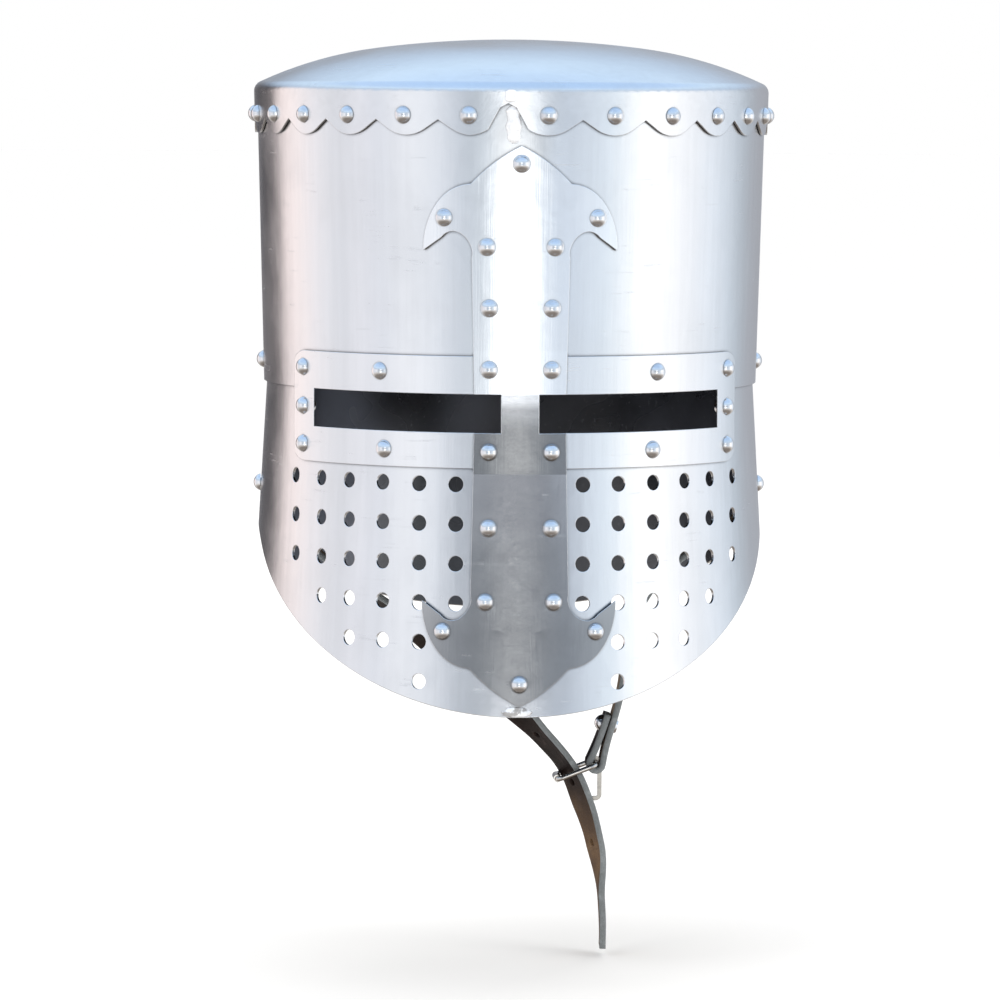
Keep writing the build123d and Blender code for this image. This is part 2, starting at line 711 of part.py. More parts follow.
with BuildPart() as chin_strap_short:
    with BuildLine(Plane.XZ) as short_path:
        FilletPolyline(*end_points, radius=bend_radii(end_points))
        ThreePointArc(end_points[-1], at_fold(0, -fold_radius), short_points[0])
        FilletPolyline(*short_points, radius=short_radii)
    with BuildSketch(square_across(short_path.wires()[0], 0)):
        Rectangle(STRAP_WIDTH, STRAP)
    sweep(path=short_path.wires()[0])
    with Locations(anchor_seats[0]):
        Cylinder(pivot, THROUGH_WALL, mode=Mode.SUBTRACT)
    with BuildSketch(fold_plane):
        with Locations((0, -fold_outside)):
            Rectangle(2 * fold_outside, fold_outside + slot_top, align=(Align.CENTER, Align.MIN))
    extrude(amount=PRONG_SLOT / 2, both=True, mode=Mode.SUBTRACT)
    with Locations(fold_rivet_seat):
        Cylinder(SHANK_RADIUS + HOLE_PLAY, THROUGH_WALL, mode=Mode.SUBTRACT)
short_length = short_path.wires()[0].length
print("short strap", round(short_length, 1))
write("chin_strap_short", chin_strap_short.part)
write("strap_fold_rivet", rivet_group([(fold_rivet_seat, 2 * STRAP + 2 * FIT + TAIL_GAP)]))

# Buckle: a wire frame, a roller on its front bar and a prong on its heel bar
bar_gap = math.hypot(HEEL[0] - ROLLER_BAR[0], HEEL[1] - ROLLER_BAR[1])
tilt = math.atan2(ROLLER_BAR[1] - HEEL[1], HEEL[0] - ROLLER_BAR[0])
roller_center = (ROLLER_BAR[0], 0, CROWN_EDGE - ROLLER_BAR[1])
frame_plane = Plane(
    origin=heel_center,
    x_dir=(-math.cos(tilt), 0, -math.sin(tilt)),
    z_dir=(-math.sin(tilt), 0, math.cos(tilt)),
)
with BuildPart() as buckle_frame:
    with BuildLine(frame_plane) as frame_path:
        FilletPolyline(
            (0, 0),
            (0, FRAME_HALF_WIDTH),
            (bar_gap, FRAME_HALF_WIDTH),
            (bar_gap, -FRAME_HALF_WIDTH),
            (0, -FRAME_HALF_WIDTH),
            (0, -HEEL_JOIN),
            radius=FRAME_CORNER,
        )
        Line((0, -HEEL_JOIN), (0, 0))
    with BuildSketch(Plane(origin=heel_center, x_dir=frame_plane.x_dir, z_dir=frame_plane.y_dir)):
        Circle(WIRE)
    sweep(path=frame_path.wires()[0])
write("buckle_frame", buckle_frame.part)

with BuildPart() as buckle_roller:
    with BuildSketch(Plane(origin=roller_center, x_dir=(1, 0, 0), z_dir=(0, -1, 0))):
        Circle(ROLLER_RADIUS)
        Circle(WIRE + RUNNING, mode=Mode.SUBTRACT)
    extrude(amount=ROLLER_LENGTH / 2, both=True)
write("buckle_roller", buckle_roller.part)

inner = PRONG_EYE - PRONG_THICK
with BuildPart() as buckle_prong:
    with BuildSketch(Plane(origin=heel_center, x_dir=(1, 0, 0), z_dir=(0, -1, 0))):
        with BuildLine():
            FilletPolyline(
                (PRONG_EYE, 0),
                (PRONG_EYE, -PRONG_LENGTH),
                (PRONG_EYE - PRONG_HOOK, -PRONG_LENGTH),
                radius=PRONG_THICK * 1.5,
            )
            FilletPolyline(
                (PRONG_EYE - PRONG_HOOK, -PRONG_LENGTH),
                (PRONG_EYE - PRONG_HOOK, PRONG_THICK - PRONG_LENGTH),
                (inner, PRONG_THICK - PRONG_LENGTH),
                (inner, 0),
                radius=PRONG_THICK / 4,
            )
            Line((inner, 0), (PRONG_EYE, 0))
        make_face()
        Circle(PRONG_EYE)
        Circle(WIRE + RUNNING, mode=Mode.SUBTRACT)
    extrude(amount=PRONG_WIDTH / 2, both=True)
write("buckle_prong", buckle_prong.part)
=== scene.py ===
"""Looks of a riveted great helm: steel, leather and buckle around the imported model.

Metres. +Z is up, the face looks along -Y and the wearer's left is +X. The origin is the head seat.
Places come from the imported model: its boxes, its joints and the route of the chin strap.
"""

import json
import math

import bmesh
import bpy
from mathutils import Matrix, Vector, noise


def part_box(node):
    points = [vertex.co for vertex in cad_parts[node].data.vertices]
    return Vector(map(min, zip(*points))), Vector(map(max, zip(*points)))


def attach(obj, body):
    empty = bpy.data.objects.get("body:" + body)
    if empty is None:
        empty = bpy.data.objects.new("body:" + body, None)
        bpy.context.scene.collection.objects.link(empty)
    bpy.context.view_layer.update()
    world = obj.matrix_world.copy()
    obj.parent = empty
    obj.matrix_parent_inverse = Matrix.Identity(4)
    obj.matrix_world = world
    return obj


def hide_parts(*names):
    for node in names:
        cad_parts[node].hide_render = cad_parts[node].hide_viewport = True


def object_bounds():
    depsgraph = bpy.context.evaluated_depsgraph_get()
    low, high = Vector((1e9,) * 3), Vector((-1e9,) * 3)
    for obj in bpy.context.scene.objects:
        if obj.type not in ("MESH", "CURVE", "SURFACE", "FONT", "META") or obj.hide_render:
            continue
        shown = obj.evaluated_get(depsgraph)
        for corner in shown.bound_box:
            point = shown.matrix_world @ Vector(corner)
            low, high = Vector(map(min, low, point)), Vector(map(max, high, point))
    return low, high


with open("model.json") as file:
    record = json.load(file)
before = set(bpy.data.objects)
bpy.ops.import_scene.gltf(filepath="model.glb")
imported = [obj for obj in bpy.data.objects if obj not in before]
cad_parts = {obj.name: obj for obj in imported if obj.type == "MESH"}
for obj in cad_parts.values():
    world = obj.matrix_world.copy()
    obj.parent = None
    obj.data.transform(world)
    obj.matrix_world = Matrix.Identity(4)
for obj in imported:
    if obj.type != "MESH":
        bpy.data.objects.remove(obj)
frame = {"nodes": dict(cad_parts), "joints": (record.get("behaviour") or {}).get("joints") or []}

cad_low, cad_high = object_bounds()
NODES = frame["nodes"]
JOINTS = {joint["name"]: Vector(joint["pos_m"]) for joint in frame["joints"]}

# ---------------------------------------------------------------- driving values

MM = 0.001
WARM_WHITE = (1.0, 0.985, 0.96)
CROWN_EDGE = 33 * MM  # where the crown plate turns down into its rim
CROWN_WALL_TOP = 34 * MM  # where the straight wall of the rim starts
CROWN_SLOPE = 0.0275  # how far the rim leans in for each mm down
SKULL_SLOPE = 0.0267  # the same for the skull shell
FACE_SLOPE = 0.057  # how far the front of the face shell leans in for each mm up from the hem
EDGE_ROUND = 0.5 * MM  # bevel that catches light on the edges of a plate
SHEET_SEAM = 2.2 * MM  # how far the painted seam shade reaches from a seam
RIVET_SEAM = 1.6 * MM  # the same on rivets, buckle and welds
HEAT_HALF_WIDTH = (17 * MM, 8 * MM)  # the weld's heat fades in from the first to the second
HEAT_HEIGHT = (-20 * MM, 0.0)
STRAP_WIDTH = 18 * MM
STRAP_THICK = 3 * MM
STRAP_HOLE_RADIUS = 1.8 * MM
STRAP_HOLE_COUNT = 4
STRAP_HOLE_FIRST = 22 * MM
STRAP_HOLE_PITCH = 28.5 * MM
PRONG_SLOT = 4.4 * MM
FOLD_RADIUS = 3.05 * MM  # middle of the leather round the heel bar
FOLD_LEAN = math.radians(17.6)
FOLD_LAYER = 1.6 * MM  # middle of a layer from the middle of the fold
LONG_ROUTE = (  # x and z, from the anchor rivet to the tail
    (-0.1126, -0.141),
    (-0.1126, -0.166),
    (-0.050, -0.214),
    (0.0021, -0.2604),
    (0.020, -0.2795),
    (0.0315, -0.293),
    (0.0395, -0.313),
    (0.0445, -0.340),
    (0.0434, -0.370),
)
LONG_TWIST = (  # share of the way along, degrees
    (0, 0),
    (0.16, 0),
    (0.46, -38),
    (0.57, -37),
    (0.645, -25),
    (0.68, -24),
    (0.76, -27),
    (0.83, -21),
    (0.92, 0),
    (1.0, 2),
)
LONG_LIFT = (  # share of the way along, mm off the route towards the buckle's heel
    (0, 0),
    (0.35, 0),
    (0.60, 3.8),
    (0.67, 3.8),
    (0.77, 0.8),
    (0.88, 0.8),
    (1.0, 2.0),
)
SHORT_ROUTE = (  # x and z, from the fold to the anchor rivet
    (0.055, -0.233),
    (0.0585, -0.214),
    (0.0695, -0.195),
    (0.088, -0.179),
    (0.1126, -0.166),
    (0.1126, -0.141),
)
ANCHOR_REACH = 0.1126  # x of the straps at their anchor rivets
RIVET_CLEARANCE = 2.1 * MM  # radius of a rivet hole in leather
BAND_THICK = 2.5 * MM
BAND_CLEARANCE = 0.15 * MM  # between the band and the shells
TONGUE_COUNT = 8
TONGUE_THICK = 1.8 * MM
TONGUE_LOOP = 2.4 * MM  # radius of the loop round the lace
TONGUE_SPRING = 62 * MM  # how far below the head seat a tongue stands upright
TONGUE_FULL = 52 * MM  # from this far out, a tongue widens in step with the circle
TONGUE_FLARE = 1 / 3.05  # half width for each mm out, from there
TONGUE_TIP = 4.2 * MM  # half the width at the lace
LACE_RADIUS = 1.3 * MM
LACE_STRAND = 0.62 * MM  # radius of a strand, and how far it lies off the middle of the lace
LACE_TWISTS = 40
WELD_STEP = 0.45 * MM  # height of one row of a bead
SKY_STRENGTH = 1.25
BELT = (  # turn from the viewer towards the helm's left, colour, gain
    (-180, (150, 152, 158), 1.0),
    (-168, (110, 109, 113), 0.85),
    (-160, (92, 90, 94), 0.6),
    (-146, (86, 84, 88), 0.5),
    (-141, (112, 107, 108), 0.6),
    (-136, (246, 230, 227), 1.0),
    (-124, (249, 236, 233), 1.03),
    (-115, (236, 230, 232), 1.0),
    (-105, (232, 231, 235), 1.0),
    (-96, (214, 216, 222), 0.95),
    (-84, (232, 231, 236), 1.0),
    (-72, (218, 221, 229), 0.97),
    (-60, (232, 233, 237), 1.05),
    (-44, (226, 229, 235), 1.05),
    (-30, (204, 211, 221), 0.95),
    (-20, (192, 201, 210), 0.9),
    (-12, (226, 234, 241), 1.1),
    (-7, (252, 254, 255), 1.75),
    (6, (252, 254, 255), 1.75),
    (11, (226, 234, 241), 1.1),
    (20, (202, 214, 229), 0.95),
    (36, (212, 221, 232), 1.0),
    (50, (222, 233, 243), 1.0),
    (60, (248, 251, 253), 1.05),
    (72, (255, 255, 255), 1.2),
    (84, (250, 250, 252), 1.05),
    (99, (236, 239, 244), 1.0),
    (112, (222, 229, 238), 1.05),
    (124, (198, 207, 217), 1.05),
    (134, (172, 181, 190), 1.0),
    (146, (162, 164, 171), 1.0),
    (180, (150, 152, 158), 1.0),
)


# ---------------------------------------------------------------- node helpers

class Tree:
    """Short way to write a node tree: add a node with its values, link sockets by name."""

    def __init__(self, tree):
        self.tree = tree
        tree.nodes.clear()

    def node(self, kind, values=None, **settings):
        made = self.tree.nodes.new(kind)
        for key, value in settings.items():
            setattr(made, key, value)
        for key, value in (values or {}).items():
            self.put(made, key, value)
        return made

    def put(self, node, key, value):
        socket = node.inputs[key]
        if isinstance(value, bpy.types.NodeSocket):
            self.tree.links.new(value, socket)
        elif isinstance(value, bpy.types.Node):
            self.tree.links.new(value.outputs[0], socket)
        else:
            socket.default_value = value

    def math(self, operation, a, b=0.0, clamp=False):
        made = self.node("ShaderNodeMath", {0: a, 1: b}, operation=operation, use_clamp=clamp)
        return made.outputs[0]

    def step(self, value, low, high):
        """0 at low, 1 at high, smooth between them; low may be above high."""
        made = self.node(
            "ShaderNodeMapRange",
            {"Value": value, "From Min": low, "From Max": high},
            interpolation_type="SMOOTHSTEP",
        )
        return made.outputs["Result"]

    def mix(self, share, a, b):
        made = self.node("ShaderNodeMix", data_type="RGBA")
        self.put(made, 0, share)
        self.put(made, 6, a)
        self.put(made, 7, b)
        return made.outputs[2]

    def mix_number(self, share, a, b):
        made = self.node("ShaderNodeMix", data_type="FLOAT")
        self.put(made, 0, share)
        self.put(made, 2, a)
        self.put(made, 3, b)
        return made.outputs[0]

    def ramp(self, value, stops):
        made = self.node("ShaderNodeValToRGB", {"Fac": value})
        elements = made.color_ramp.elements
        while len(elements) < len(stops):
            elements.new(0.5)
        for element, (place, color) in zip(elements, stops):
            element.position = place
            element.color = (*color, 1.0)
        return made.outputs["Color"]

    def noise(self, scale, detail=3.0, roughness=0.5, stretch=(1, 1, 1), turn=(0, 0, 0)):
        where = self.node("ShaderNodeTexCoord").outputs["Object"]
        mapped = self.node("ShaderNodeMapping", {"Vector": where, "Scale": stretch, "Rotation": turn})
        made = self.node(
            "ShaderNodeTexNoise",
            {"Vector": mapped, "Scale": scale, "Detail": detail, "Roughness": roughness},
        )
        return made.outputs["Fac"]

    def bump(self, height, strength, distance, normal=None):
        values = {"Height": height, "Strength": strength, "Distance": distance}
        made = self.node("ShaderNodeBump", values)
        if normal is not None:
            self.put(made, "Normal", normal)
        return made.outputs["Normal"]


def rgb(red, green, blue):
    """Linear colour of an sRGB one given in 0 to 255."""
    return tuple(
        (v / 12.92 if v <= 0.04045 else ((v + 0.055) / 1.055) ** 2.4)
        for v in (red / 255, green / 255, blue / 255)
    )


def rgba(*color):
    return (*rgb(*color), 1.0)


def toned(color, tone):
    """A linear colour made darker, or lighter up to white."""
    return (*[min(1.0, c * tone) for c in color], 1.0)


def new_material(name):
    material = bpy.data.materials.new(name)
    material.use_nodes = True
    return material, Tree(material.node_tree)


def finish_material(tree, shader):
    tree.node("ShaderNodeOutputMaterial", {"Surface": shader})


# ---------------------------------------------------------------- metals

def edge_mask(tree, radius):
    """1 on the edges of a plate, 0 on its faces, and the normal rounded over them."""
    rounded = tree.node("ShaderNodeBevel", {"Radius": radius}, samples=4).outputs["Normal"]
    true = tree.node("ShaderNodeNewGeometry").outputs["True Normal"]
    dot = tree.node("ShaderNodeVectorMath", {0: rounded, 1: true}, operation="DOT_PRODUCT")
    return tree.step(dot.outputs["Value"], 0.995, 0.85), rounded


def seam_shade_mask(tree, distance):
    """1 in the narrow gaps where plates, rivets and sheet meet, 0 on open faces: the mask of the
    painted shade there.
    """
    near = tree.node("ShaderNodeAmbientOcclusion", {"Distance": distance}, samples=8)
    return tree.step(near.outputs["AO"], 0.92, 0.35)


def sheet_steel(name, color, roughness, brushing, grain=0.35, smudges=1.0, upright=True, shade_bands=None):
    """Brushed sheet: upright grain, faint cross grinding, smudges, burnished edges, painted shade in
    the seams.

    shade_bands gives pairs of height in mm and tone, from the top down, as painted shade for how each
    band catches light. Without it, upright sheet is duller beside the front weld, where the heat has
    reached.
    """
    material, tree = new_material(name)
    edge, rounded = edge_mask(tree, EDGE_ROUND)
    along = (1, 1, 0.012) if upright else (1, 1, 1)
    grain_lines = tree.noise(1500, 2.0, 0.6, stretch=along)
    broad_lines = tree.noise(260, 3.0, 0.6, stretch=(1, 1, 0.03) if upright else (1, 1, 1))
    cross_marks = tree.noise(700, 2.0, 0.5, stretch=(0.06, 0.06, 1), turn=(0.0, 0.35, 0.2))
    clouds = tree.noise(17, 4.0, 0.6)
    patches = tree.noise(55, 5.0, 0.7)
    cloud = tree.step(clouds, 0.38, 0.66)
    mark = tree.math("MULTIPLY", tree.step(cross_marks, 0.58, 0.75), tree.step(patches, 0.5, 0.62))
    shade = tree.mix(tree.math("MULTIPLY", cloud, 0.35 * smudges), (*color, 1), toned(color, 0.86))
    broad = tree.math("MULTIPLY", tree.step(broad_lines, 0.3, 0.7), 0.35)
    shade = tree.mix(broad, shade, toned(color, 1.07))
    shade = tree.mix(tree.math("MULTIPLY", mark, 0.25 * smudges), shade, toned(color, 0.72))
    where = tree.node("ShaderNodeTexCoord").outputs["Object"]
    x, y, z = tree.node("ShaderNodeSeparateXYZ", {0: where}).outputs
    # painted shade: the plate darker in height bands, for how each band catches light
    if shade_bands:
        for (upper, _), (lower, tone) in zip(shade_bands, shade_bands[1:]):
            shade = tree.mix(tree.step(z, upper * MM, lower * MM), shade, toned(color, tone))
    elif upright:
        heat = tree.step(tree.math("ABSOLUTE", x), *HEAT_HALF_WIDTH)
        heat = tree.math("MULTIPLY", heat, tree.step(y, 0.0, -50 * MM))
        heat = tree.math("MULTIPLY", heat, tree.step(z, *HEAT_HEIGHT))
        shade = tree.mix(heat, shade, toned(color, 0.76))
    shade = tree.mix(edge, shade, (0.93, 0.93, 0.94, 1))
    # painted shade: dark grey in the narrow gaps where plates, rivets and sheet meet, less on the
    # edges
    seam_shade = tree.math("MULTIPLY", seam_shade_mask(tree, SHEET_SEAM), tree.mix_number(edge, 0.85, 0.3))
    shade = tree.mix(seam_shade, shade, rgba(52, 50, 52))
    rough = tree.math("ADD", roughness - 0.03, tree.math("MULTIPLY", cloud, 0.06 * smudges))
    rough = tree.math("ADD", rough, tree.math("MULTIPLY", mark, 0.10))
    rough = tree.math("ADD", rough, tree.math("MULTIPLY", edge, -0.05), clamp=True)
    normal = tree.bump(grain_lines, grain * 0.35, 0.12 * MM, rounded)
    normal = tree.bump(broad_lines, grain * 0.25, 0.3 * MM, normal)
    normal = tree.bump(patches, 0.10 * smudges, 0.6 * MM, normal)
    shader = tree.node(
        "ShaderNodeBsdfPrincipled",
        {"Base Color": shade, "Metallic": 1.0, "Roughness": rough, "Normal": normal},
    )
    if brushing:
        tangent = tree.node("ShaderNodeTangent", direction_type="RADIAL", axis="Z")
        tree.put(shader, "Tangent", tangent)
        shader.inputs["Anisotropic"].default_value = brushing
        shader.inputs["Anisotropic Rotation"].default_value = 0.0
    finish_material(tree, shader)
    return material


def polished_steel(name, color, roughness, dents, seam_shade=0.8, metal=1.0, stain=0.0):
    """Rivet heads, buckle wire and welds: small dents, a film that dulls them, painted shade in the
    gaps, grey stains.
    """
    material, tree = new_material(name)
    dent = tree.noise(420, 2.0, 0.5)
    film = tree.step(tree.noise(240, 4.0, 0.65), 0.45, 0.7)
    scratch = tree.noise(2600, 2.0, 0.6, stretch=(1, 0.15, 0.4), turn=(0.3, 0.5, 0.1))
    shade = tree.mix(tree.math("MULTIPLY", film, 0.4), (*color, 1), toned(color, 0.74))
    # painted shade: dark grey in the gaps round rivets, buckle and welds
    seams = tree.math("MULTIPLY", seam_shade_mask(tree, RIVET_SEAM), seam_shade)
    shade = tree.mix(seams, shade, rgba(48, 46, 48))
    if stain:
        spots = tree.step(tree.noise(430, 3.0, 0.6), 0.46, 0.60)
        shade = tree.mix(tree.math("MULTIPLY", spots, stain), shade, rgba(128, 122, 118))
    rough = tree.math("ADD", roughness, tree.math("MULTIPLY", film, 0.10))
    normal = tree.bump(dent, dents, 0.35 * MM)
    normal = tree.bump(scratch, 0.05, 0.05 * MM, normal)
    shader = tree.node(
        "ShaderNodeBsdfPrincipled",
        {"Base Color": shade, "Metallic": metal, "Roughness": rough, "Normal": normal},
    )
    finish_material(tree, shader)
    return material


def inside_paint(name):
    """The satin black coat on the inside of the sheets, uneven, with soft bluish patches of painted
    highlight.
    """
    material, tree = new_material(name)
    clouds = tree.step(tree.noise(28, 1.0, 0.4), 0.3, 0.75)
    specks = tree.step(tree.noise(380, 3.0, 0.6), 0.60, 0.72)
    painted_light = tree.step(tree.noise(15, 0.0, 0.5, stretch=(1, 1, 0.6)), 0.46, 0.72)
    shade = tree.mix(clouds, rgba(36, 37, 42), rgba(62, 64, 72))
    # painted highlight: soft bluish-grey patches on the black coat
    shade = tree.mix(tree.math("MULTIPLY", painted_light, 0.45), shade, rgba(150, 156, 172))
    shade = tree.mix(tree.math("MULTIPLY", specks, 0.35), shade, rgba(96, 98, 104))
    rough = tree.mix_number(clouds, 0.22, 0.36)
    normal = tree.bump(tree.noise(300, 4.0, 0.6), 0.12, 0.3 * MM)
    shader = tree.node(
        "ShaderNodeBsdfPrincipled",
        {"Base Color": shade, "Roughness": rough, "Normal": normal, "Specular IOR Level": 0.8},
    )
    finish_material(tree, shader)
    return material


# ---------------------------------------------------------------- leather and cord

def leather(name, deep, light, roughness, fibre=0.0, gloss=0.5, painted_light=None):
    """Leather with pebbled grain, creases and rubbed high spots; fibre makes it a raw flesh side.

    painted_light gives two heights in mm: from the first down to the second the face is painted a
    lighter brown, as painted light.
    """
    material, tree = new_material(name)
    where = tree.node("ShaderNodeTexCoord").outputs["Object"]
    cells = tree.node(
        "ShaderNodeTexVoronoi", {"Vector": where, "Scale": 1300.0}, feature="DISTANCE_TO_EDGE"
    )
    pebble = tree.step(cells.outputs["Distance"], 0.0, 0.25)
    crease = tree.noise(120, 6.0, 0.7, stretch=(1, 0.35, 1))
    tone = tree.step(tree.noise(45, 5.0, 0.65), 0.35, 0.68)
    rub = tree.step(tree.noise(210, 4.0, 0.7), 0.5, 0.72)
    fuzz = tree.noise(2400, 3.0, 0.7, stretch=(1, 1, 0.4))
    shade = tree.mix(tone, rgba(*deep), rgba(*light))
    # painted light: the face lighter brown between two heights
    if painted_light:
        height = tree.node("ShaderNodeSeparateXYZ", {0: where}).outputs["Z"]
        brown = tree.mix(tone, rgba(92, 68, 46), rgba(130, 102, 72))
        shade = tree.mix(tree.step(height, painted_light[0] * MM, painted_light[1] * MM), shade, brown)
    rubbed = tuple(min(255, value * 1.35 + 10) for value in light)
    shade = tree.mix(tree.math("MULTIPLY", rub, 0.45), shade, rgba(*rubbed))
    hollow = tree.math("SUBTRACT", 1.0, pebble)
    shade = tree.mix(tree.math("MULTIPLY", hollow, 0.4), shade, rgba(*deep))
    shade = tree.mix(tree.math("MULTIPLY", fuzz, fibre), shade, rgba(*rubbed))
    rough = tree.mix_number(rub, roughness, roughness - 0.08)
    normal = tree.bump(crease, 0.35, 0.5 * MM)
    normal = tree.bump(pebble, 0.30 * (1 - fibre), 0.12 * MM, normal)
    normal = tree.bump(fuzz, 0.25 * fibre + 0.02, 0.2 * MM, normal)
    shader = tree.node(
        "ShaderNodeBsdfPrincipled",
        {"Base Color": shade, "Roughness": rough, "Normal": normal, "Specular IOR Level": gloss},
    )
    finish_material(tree, shader)
    return material


def waxed_cord(name):
    """Twisted waxed cotton."""
    material, tree = new_material(name)
    strands = tree.noise(900, 3.0, 0.6, stretch=(1, 1, 2))
    shade = tree.mix(strands, rgba(66, 46, 28), rgba(132, 100, 66))
    normal = tree.bump(strands, 0.4, 0.3 * MM)
    shader = tree.node(
        "ShaderNodeBsdfPrincipled",
        {"Base Color": shade, "Roughness": 0.7, "Normal": normal},
    )
    finish_material(tree, shader)
    return material


SHELL = sheet_steel("shell_steel", (0.80, 0.81, 0.825), 0.22, 0.6)
DOME = sheet_steel("crown_steel", (0.80, 0.81, 0.825), 0.22, 0.0, upright=False)
PLATE = sheet_steel("plate_steel", (0.84, 0.845, 0.855), 0.22, 0.65, grain=0.5, smudges=0.7)
# painted shade: tones that darken the cross plate in bands down its height, for how each band catches
# light
CROSS_SHADE_BANDS = (
    (-103.5, 1.0),
    (-109, 0.52),
    (-119, 0.34),
    (-137.0, 0.33),
    (-137.4, 0.66),
    (-152, 0.62),
    (-177, 0.50),
    (-212, 0.40),
)
CROSS = sheet_steel(
    "cross_steel", (0.90, 0.905, 0.915), 0.20, 0.65, grain=0.7, smudges=0.6, shade_bands=CROSS_SHADE_BANDS
)
RIVET = polished_steel("rivet_steel", (0.82, 0.82, 0.83), 0.17, 0.18)
BUCKLE = polished_steel("buckle_steel", (0.60, 0.575, 0.54), 0.14, 0.10)
PRONG = polished_steel("prong_steel", (0.33, 0.31, 0.28), 0.24, 0.10)
WELD = polished_steel("weld_steel", (0.97, 0.97, 0.98), 0.40, 0.25, seam_shade=0.15, metal=0.4, stain=0.10)
STAINED_WELD = polished_steel(
    "stained_weld", (0.94, 0.94, 0.95), 0.36, 0.40, seam_shade=0.3, metal=0.6, stain=0.75
)
INSIDE = inside_paint("inside_paint")
# painted light: the strap's face lighter brown down the hanging tail
GRAIN = leather("strap_grain", (24, 15, 13), (44, 30, 26), 0.5, gloss=0.15, painted_light=(-284, -322))
RAW_EDGE = leather("strap_edge", (80, 83, 84), (122, 126, 127), 0.75, fibre=0.6, gloss=0.3)
FLESH = leather("strap_flesh", (70, 58, 45), (104, 88, 70), 0.8, fibre=0.8)
LINER = leather("liner_leather", (34, 25, 19), (60, 45, 34), 0.6)
LACE = waxed_cord("lace_cord")


# ---------------------------------------------------------------- steel nodes keep their shape

def looks_inward(face):
    """Whether a face is on the inside of its sheet: it looks at the axis, or down under the crown."""
    out = Vector((face.center.x / cad_high.x**2, face.center.y / cad_high.y**2, 0)).normalized()
    under_crown = face.center.z > CROWN_EDGE and face.normal.z < -0.5
    return face.normal.dot(out) < -0.75 or under_crown


def dress(name, material, inside=None):
    """Gives a node its material, and its inner faces another."""
    mesh = NODES[name].data
    mesh.materials.clear()
    mesh.materials.append(material)
    for face in mesh.polygons:
        face.material_index = 0
    if inside:
        mesh.materials.append(inside)
        for face in mesh.polygons:
            if looks_inward(face):
                face.material_index = 1


for node_name in ("skull_shell", "face_shell"):
    dress(node_name, SHELL, INSIDE)
dress("crown_plate", DOME, INSIDE)
for node_name in ("sight_plate_left", "sight_plate_right"):
    dress(node_name, PLATE)
dress("cross_plate", CROSS)
for node_name in NODES:
    if "rivet" in node_name or node_name == "liner_washers":
        dress(node_name, RIVET)
for node_name in ("buckle_frame", "buckle_roller"):
    dress(node_name, BUCKLE)
dress("buckle_prong", PRONG)


# ---------------------------------------------------------------- mesh helpers

def new_piece(name, verts, faces, materials, picks=None):
    """A mesh object with smooth faces; picks gives each face's material."""
    mesh = bpy.data.meshes.new(name)
    mesh.from_pydata([tuple(v) for v in verts], [], faces)
    for material in materials:
        mesh.materials.append(material)
    for index, face in enumerate(mesh.polygons):
        face.use_smooth = True
        if picks:
            face.material_index = picks[index]
    mesh.update()
    piece = bpy.data.objects.new(name, mesh)
    bpy.context.scene.collection.objects.link(piece)
    return piece


def apply_modifiers(piece):
    """Keeps what the modifiers make as the piece's own mesh."""
    bpy.context.view_layer.update()
    graph = bpy.context.evaluated_depsgraph_get()
    mesh = bpy.data.meshes.new_from_object(piece.evaluated_get(graph))
    piece.modifiers.clear()
    piece.data = mesh
    return piece


def smooth_route(points, samples=24):
    """A quadratic B-spline: it starts and ends on the route and touches the middle of each run."""
    points = [Vector(point) for point in points]
    middles = [points[0], *[(a + b) / 2 for a, b in zip(points[1:-2], points[2:-1])], points[-1]]
    path = []
    for start, corner, end in zip(middles, points[1:-1], middles[1:]):
        for index in range(samples):
            t = index / samples
            path.append(start * (1 - t) ** 2 + corner * 2 * t * (1 - t) + end * t**2)
    return [*path, points[-1]]


def even_steps(path, step):
    """The same line with points a step apart."""
    reach = [0.0]
    for a, b in zip(path, path[1:]):
        reach.append(reach[-1] + (b - a).length)
    count = max(2, round(reach[-1] / step))
    made, index = [], 0
    for number in range(count + 1):
        distance = reach[-1] * number / count
        while index < len(path) - 2 and reach[index + 1] < distance:
            index += 1
        run = reach[index + 1] - reach[index]
        made.append(path[index].lerp(path[index + 1], (distance - reach[index]) / run if run else 0))
    return made, reach[-1]


def strap_section(width, thick, columns=10):
    """Outline of a strap, flat with rounded cut edges: rows of (across, through, part)."""
    half_width, half_thick = width / 2, thick / 2
    soft = 0.35 * thick
    flat = [(-half_width + soft + (width - 2 * soft) * i / columns) for i in range(columns + 1)]
    outline = [(across, half_thick, "grain") for across in flat]
    outline += [
        (half_width - 0.3 * soft, half_thick - 0.3 * soft, "edge"),
        (half_width, half_thick - soft, "edge"),
        (half_width, -half_thick + soft, "edge"),
        (half_width - 0.3 * soft, -half_thick + 0.3 * soft, "edge"),
    ]
    outline += [(across, -half_thick, "flesh") for across in reversed(flat)]
    outline += [
        (-half_width + 0.3 * soft, -half_thick + 0.3 * soft, "edge"),
        (-half_width, -half_thick + soft, "edge"),
        (-half_width, half_thick - soft, "edge"),
        (-half_width + 0.3 * soft, half_thick - 0.3 * soft, "edge"),
    ]
    return outline


